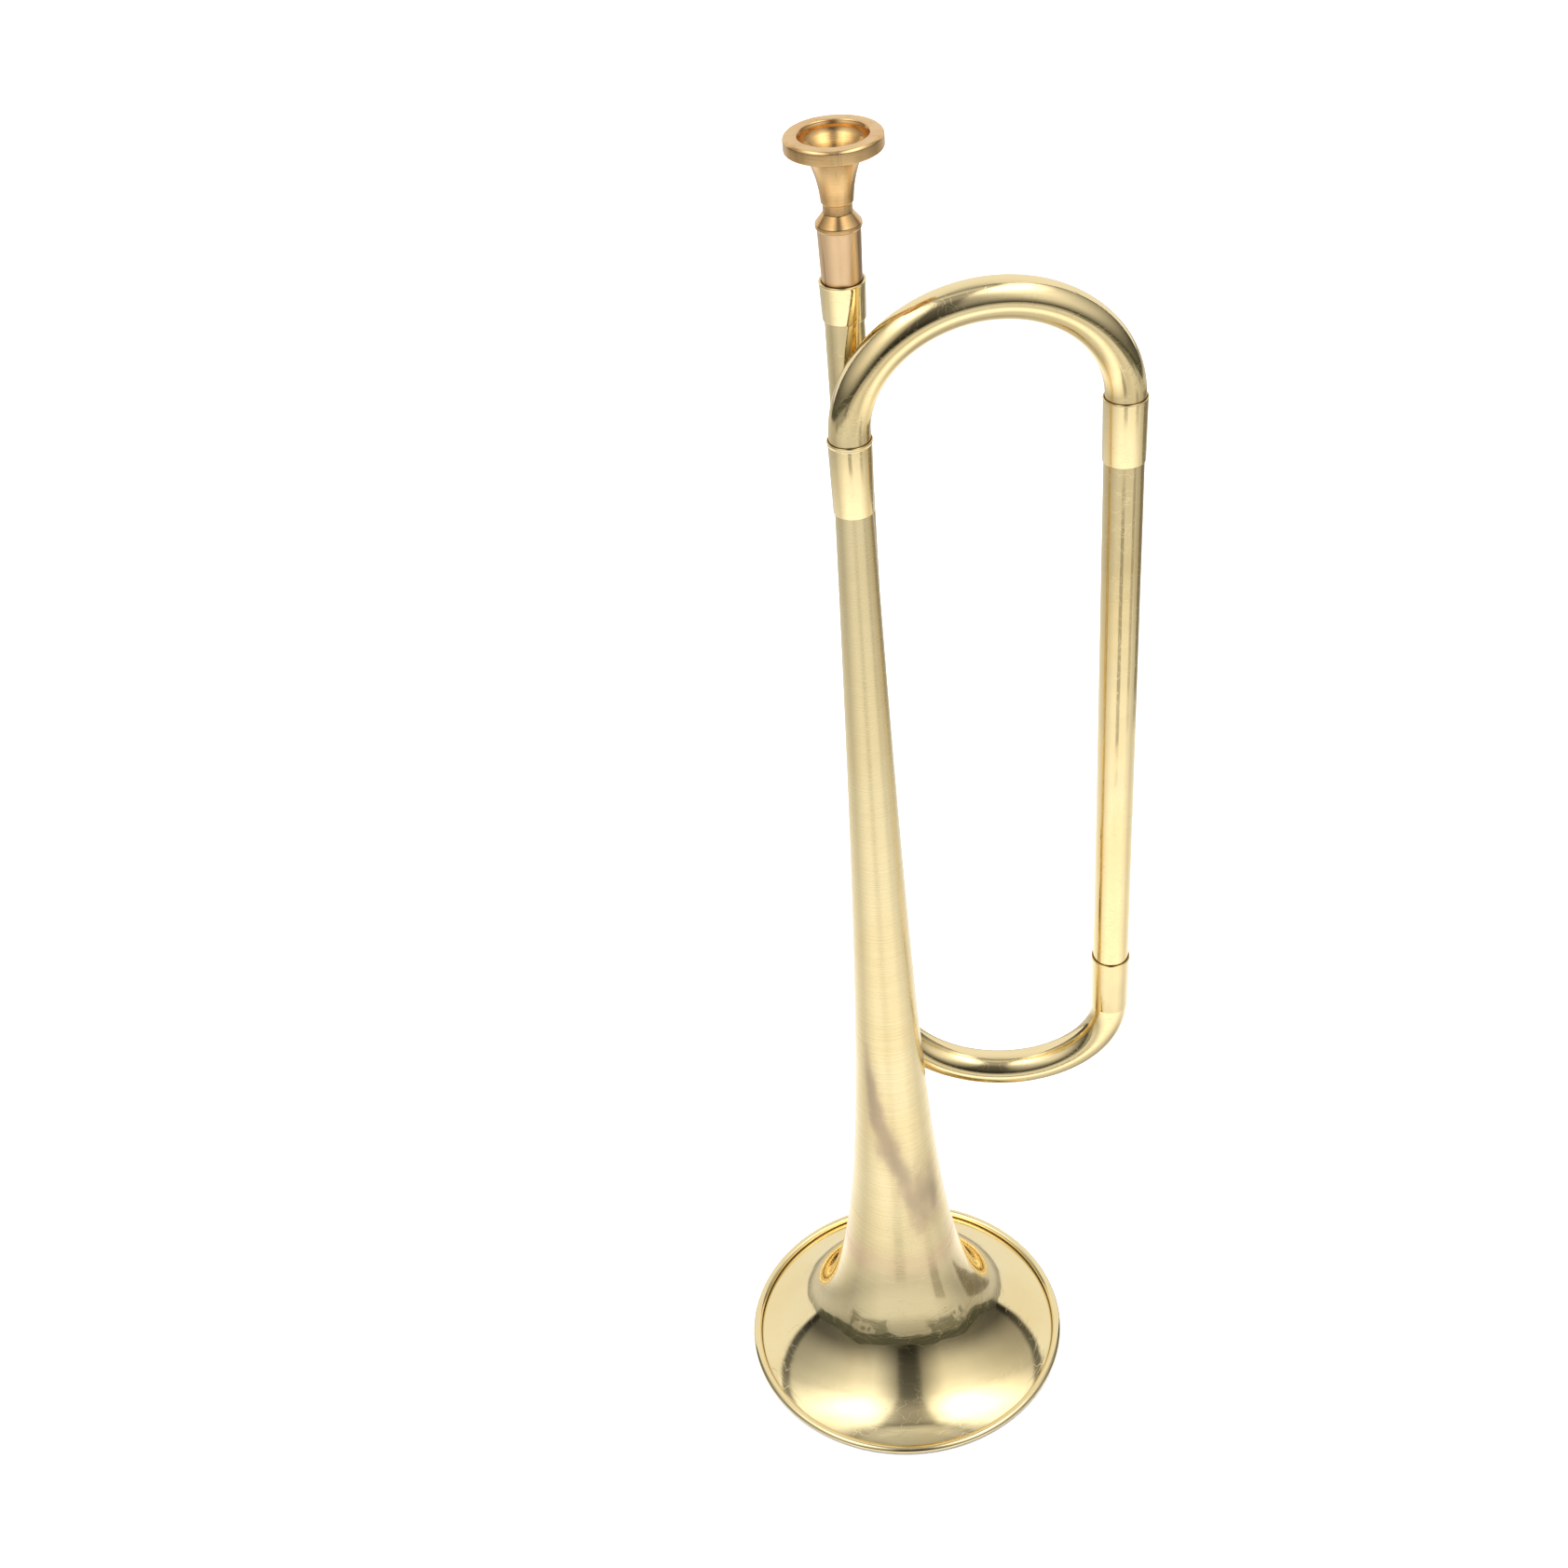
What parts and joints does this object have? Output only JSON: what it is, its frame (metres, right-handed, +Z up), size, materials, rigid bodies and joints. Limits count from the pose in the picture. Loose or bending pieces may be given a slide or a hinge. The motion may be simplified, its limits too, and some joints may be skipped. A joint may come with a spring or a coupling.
{
  "type": "bugle",
  "caption": "Valveless brass bugle: a flared bell with a rolled rim, a long folded tube with soldered ferrules, and a turned cup mouthpiece that pulls out of its receiver.",
  "frame": {"origin": "centre of the bounding box in X and Y, on the plane that the bell rim rests on", "axes": "+Z up along the bell axis to the mouthpiece; the loop of tube lies close to the XZ plane with the return tube on +X; the leadpipe is on the +Y side of the bell stem"},
  "size_m": [0.1352, 0.112, 0.438],
  "materials": {
    "polished_brass": "polished, with fine handling scratches and darker seams at the ferrule lips",
    "bell_brass": "satin hoop-brushed stem with patchy tarnish, running into a mirror-polished flare",
    "turned_brass": "lathe-turned, matte, with fine tool rings",
    "rim_wire": "dull drawn wire, mostly hidden in the rolled rim",
    "solder": "dull grey soft solder, wiped smooth"
  },
  "bodies": {
    "horn": {"receiver_ferrule": "polished_brass", "leadpipe": "polished_brass", "lower_left_ferrule": "polished_brass", "bottom_bow": "polished_brass", "lower_right_ferrule": "polished_brass", "return_tube": "polished_brass", "upper_right_ferrule": "polished_brass", "top_bow": "polished_brass", "bell_ferrule": "polished_brass", "bell_stem": "bell_brass", "bell_flare": "bell_brass", "rim_wire": "rim_wire", "upper_solder": "solder", "lower_solder": "solder"},
    "mouthpiece": {"mouthpiece": "turned_brass"}
  },
  "joints": [
    {"name": "mouthpiece_pull", "type": "slide", "parent": "horn", "child": "mouthpiece", "axis": [0, -0.0233, 0.9997], "range_m": [0, 0.03]}
  ]
}
